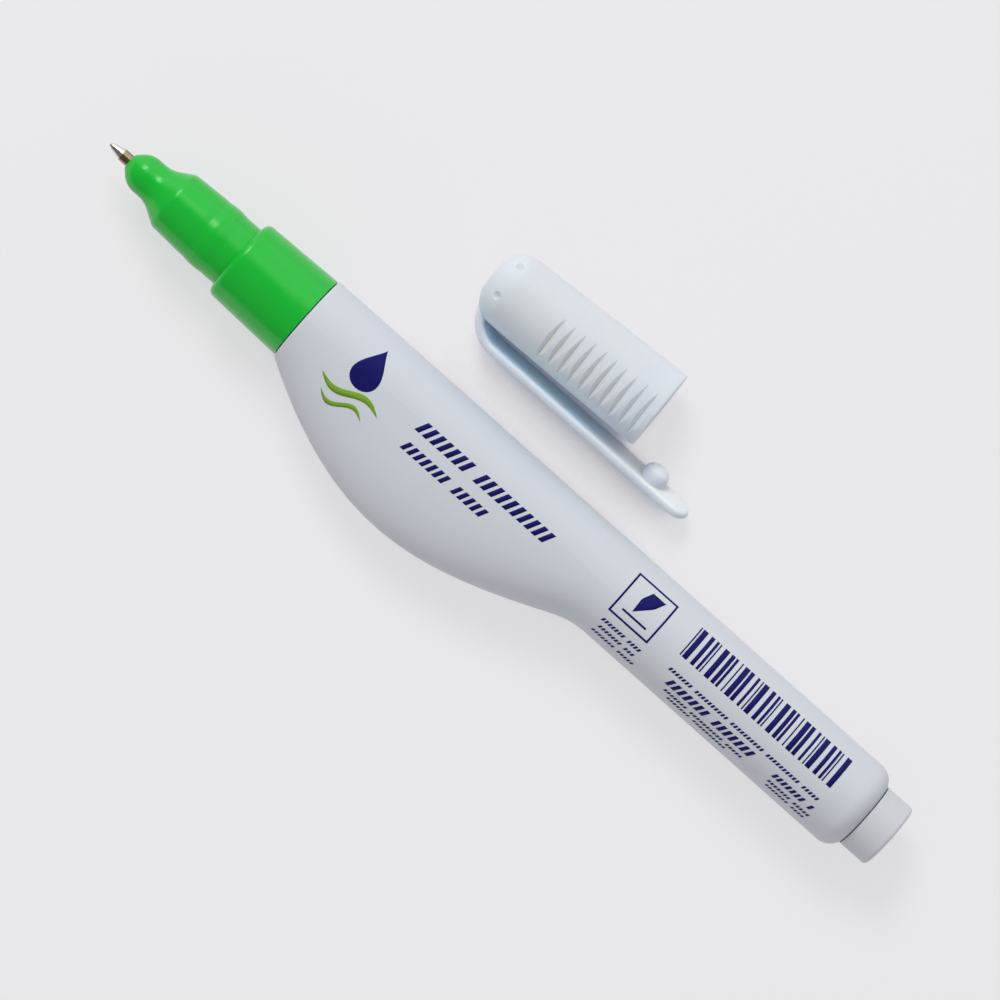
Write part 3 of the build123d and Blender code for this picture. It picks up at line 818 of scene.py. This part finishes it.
class PEN_OT_drop(bpy.types.Operator):
    """Print a drop over two waves on the belly"""

    bl_idname = "pen.drop"
    bl_label = "Drop and waves"

    def execute(self, context):
        tones, sizes, _ = settings(context)
        middle = NOSE_REAR - sizes.drop_behind
        half_width = sizes.drop_width / 2

        def on_drop(u, v):
            """A drop with its point at v = 0."""
            along = (1 - cos(pi * v)) / 2
            swell = min(1.0, sin(pi * along) ** DROP_BLUNT * along**DROP_LEAN * DROP_FULL)
            return (
                middle + (2 * u - 1) * half_width * swell,
                sizes.drop_across + (along - 0.5) * sizes.drop_height,
            )

        drop = flat_mesh("print_drop", [patch(12, 20, on_drop)])
        tree = print_tree("Drop print", [], flat_shapes)
        ink = get_ink("Navy ink", tones.navy)
        piece = print_piece(context, "print_drop", drop, tree, {}, ink, ON_BELLY)

        def wave(share, across):
            """A wave that thins out at both ends."""
            reach = sizes.wave_length * share

            def on_wave(u, v):
                thick = sizes.wave_weight * sin(pi * u) ** WAVE_TAPER * share
                bend = sizes.wave_bend * sin(2 * pi * u)
                return middle + (0.5 - u) * reach, across + bend + (v - 0.5) * thick

            return patch(28, 2, on_wave)

        upper = sizes.drop_across + sizes.wave_across
        lower = upper + sizes.wave_gap
        waves = flat_mesh("print_waves", [wave(1.0, upper), wave(sizes.wave_share, lower)])
        tree = print_tree("Wave print", [], flat_shapes)
        ink = get_ink("Green ink", tones.leaf)
        piece = print_piece(context, "print_waves", waves, tree, {}, ink, ON_BELLY)
        return {"FINISHED"}


class PEN_OT_rows(bpy.types.Operator):
    """Print the rows of slanted dashes on the belly and the tube"""

    bl_idname = "pen.rows"
    bl_label = "Rows of dashes"

    def execute(self, context):
        tones, sizes, _ = settings(context)
        ink = get_ink("Navy ink", tones.navy)
        tree = print_tree("Dash row print", DASH_INPUTS, dash_row)
        # Dashes, distance behind the nose, place across, height, pitch (all in mm), how it lies
        rows = (
            (18, 20.4, 0.5, 1.8, 1.25, ON_BELLY),
            (13, 20.4, 3.7, 1.35, 1.08, ON_BELLY),
            (12, 54.5, 3.7, 0.55, 0.55, ROUND_TUBE),
            (11, 54.8, 5.0, 0.55, 0.55, ROUND_TUBE),
            (13, 54.4, 6.4, 0.55, 0.55, ROUND_TUBE),
            (46, 65.2, 2.6, 0.5, 0.56, ROUND_TUBE),
            (15, 66.2, 4.2, 1.25, 0.98, ROUND_TUBE),
            (24, 66.6, 5.8, 0.5, 0.56, ROUND_TUBE),
            (19, 67.6, 6.8, 0.5, 0.56, ROUND_TUBE),
            (9, 84.4, 4.2, 0.85, 0.76, ROUND_TUBE),
            (13, 84.4, 5.6, 0.5, 0.55, ROUND_TUBE),
            (12, 84.6, 6.6, 0.5, 0.55, ROUND_TUBE),
        )
        for index, (count, behind, across, height, pitch, wrap) in enumerate(rows):
            values = {
                "Count": count,
                "Start": NOSE_REAR - behind * MM,
                "Middle": across * MM,
                "Pitch": pitch * MM,
                "Height": height * MM,
                "Weight": sizes.dash_weight,
                "Slant": sizes.dash_slant,
            }
            name = f"print_row_{index}"
            mesh = bpy.data.meshes.new(name)
            piece = print_piece(context, name, mesh, tree, values, ink, wrap)
        return {"FINISHED"}


class PEN_OT_bars(bpy.types.Operator):
    """Print the block of bars on the tube"""

    bl_idname = "pen.bars"
    bl_label = "Block of bars"

    def execute(self, context):
        tones, sizes, _ = settings(context)
        ink = get_ink("Navy ink", tones.navy)
        tree = print_tree("Bar block print", BAR_INPUTS, bar_block)
        values = {
            "Count": sizes.bars_count,
            "Start": NOSE_REAR - sizes.bars_behind,
            "Middle": sizes.bars_across,
            "Length": sizes.bars_length,
            "Height": sizes.bars_height,
        }
        mesh = bpy.data.meshes.new("print_bars")
        piece = print_piece(context, "print_bars", mesh, tree, values, ink, ROUND_TUBE)
        return {"FINISHED"}


class PEN_OT_icon(bpy.types.Operator):
    """Print the framed icon of a point on a line"""

    bl_idname = "pen.icon"
    bl_label = "Framed icon"

    def execute(self, context):
        tones, sizes, _ = settings(context)
        front = NOSE_REAR - sizes.icon_behind

        def on_frame(along, down):
            """A point in shares of the frame, measured from its upper front corner."""
            size = sizes.icon_size
            return front - along * size, sizes.icon_across + down * size

        def block(left, right, upper, lower, columns, rows):
            """A rectangle in shares of the frame."""

            def on_block(u, v):
                return on_frame(left + (right - left) * u, upper + (lower - upper) * v)

            return patch(columns, rows, on_block)

        def on_nib(u, v):
            """A leaning nib that narrows to its end at v = 1."""
            wide = NIB_WIDE * min(1.0, (1 - v) * NIB_TAPER)
            along = 0.5 + (2 * u - 1) * wide + (0.5 - v) * NIB_LEAN
            return on_frame(along, NIB_TOP + NIB_HIGH * v)

        edge = sizes.icon_line / sizes.icon_size
        patches = [
            block(0, 1, 0, edge, 8, 1),
            block(0, 1, 1 - edge, 1, 8, 1),
            block(0, edge, edge, 1 - edge, 1, 10),
            block(1 - edge, 1, edge, 1 - edge, 1, 10),
            block(LINE_START, LINE_END, LINE_DOWN, LINE_DOWN + edge, 6, 1),
            patch(4, 10, on_nib),
        ]
        tree = print_tree("Icon print", [], flat_shapes)
        mesh = flat_mesh("print_icon", patches)
        ink = get_ink("Navy ink", tones.navy)
        piece = print_piece(context, "print_icon", mesh, tree, {}, ink, ROUND_TUBE)
        return {"FINISHED"}


class PEN_OT_stage(bpy.types.Operator):
    """Set the floor, the light and the camera"""

    bl_idname = "pen.stage"
    bl_label = "Floor, light and camera"

    def execute(self, context):
        look = settings(context)[2]
        scene, link = context.scene, context.collection.objects.link
        scene.view_settings.view_transform = "Standard"
        slope = radians(look.pen_angle)
        right = Vector((-cos(slope), -sin(slope), 0))
        up = Vector((sin(slope), -cos(slope), 0))
        near = right.cross(up)
        middle = Vector((look.view_x, look.view_y, 0))

        def toward(offset):
            """A place in the picture, in the pen's frame."""
            return right * offset[0] + up * offset[1] + near * offset[2]

        camera = bpy.data.objects.new("camera", bpy.data.cameras.new("camera"))
        camera.data.lens = look.lens
        camera.data.sensor_width = SENSOR_WIDTH
        distance = look.view_width / SENSOR_WIDTH * look.lens
        turn = Matrix((right, up, near)).transposed().to_4x4()
        camera.matrix_world = Matrix.Translation(middle + near * distance) @ turn
        link(camera)
        scene.camera = camera

        key, fill = toward(look.key_place), toward(look.fill_place)
        scene.world = studio_world(look, toward(BRIGHT_SIDE), key)
        link(softbox("key", middle, key, look.key_size, look.key_power))
        link(softbox("fill", middle, fill, look.fill_size, look.fill_power))

        floor = bpy.data.objects.new("floor", bpy.data.meshes.new("floor"))
        signs = ((-1, -1), (1, -1), (1, 1), (-1, 1))
        corners = [(x * FLOOR_REACH, y * FLOOR_REACH, TABLE) for x, y in signs]
        floor.data.from_pydata(corners, [], [(0, 1, 2, 3)])
        floor.data.materials.append(floor_material(look))
        link(floor)
        return {"FINISHED"}


class PEN_PT_panel(bpy.types.Panel):
    """Lists the steps and their settings"""

    bl_label = "Correction pen"
    bl_idname = "PEN_PT_panel"
    bl_space_type = "VIEW_3D"
    bl_region_type = "UI"
    bl_category = "Pen"

    def draw(self, context):
        for step in STEPS:
            self.layout.operator(step.bl_idname)
        for group in settings(context):
            column = self.layout.column()
            for name in group.__annotations__:
                column.prop(group, name)


STEPS = (
    PEN_OT_body,
    PEN_OT_point,
    PEN_OT_cap,
    PEN_OT_drop,
    PEN_OT_rows,
    PEN_OT_icon,
    PEN_OT_bars,
    PEN_OT_stage,
)
GROUPS = {"pen_colours": PenColours, "pen_print": PenPrint, "pen_stage": PenStage}


def register():
    """Registers the settings, the steps and the panel."""
    for name, group in GROUPS.items():
        bpy.utils.register_class(group)
        setattr(bpy.types.Scene, name, PointerProperty(type=group))
    for step in STEPS:
        bpy.utils.register_class(step)
    bpy.utils.register_class(PEN_PT_panel)


def unregister():
    """Takes them out again."""
    bpy.utils.unregister_class(PEN_PT_panel)
    for step in reversed(STEPS):
        bpy.utils.unregister_class(step)
    for name, group in GROUPS.items():
        delattr(bpy.types.Scene, name)
        bpy.utils.unregister_class(group)


def main():
    """Builds everything in order."""
    register()
    for step in STEPS:
        area, name = step.bl_idname.split(".")
        getattr(getattr(bpy.ops, area), name)()


if __name__ == "__main__":
    main()
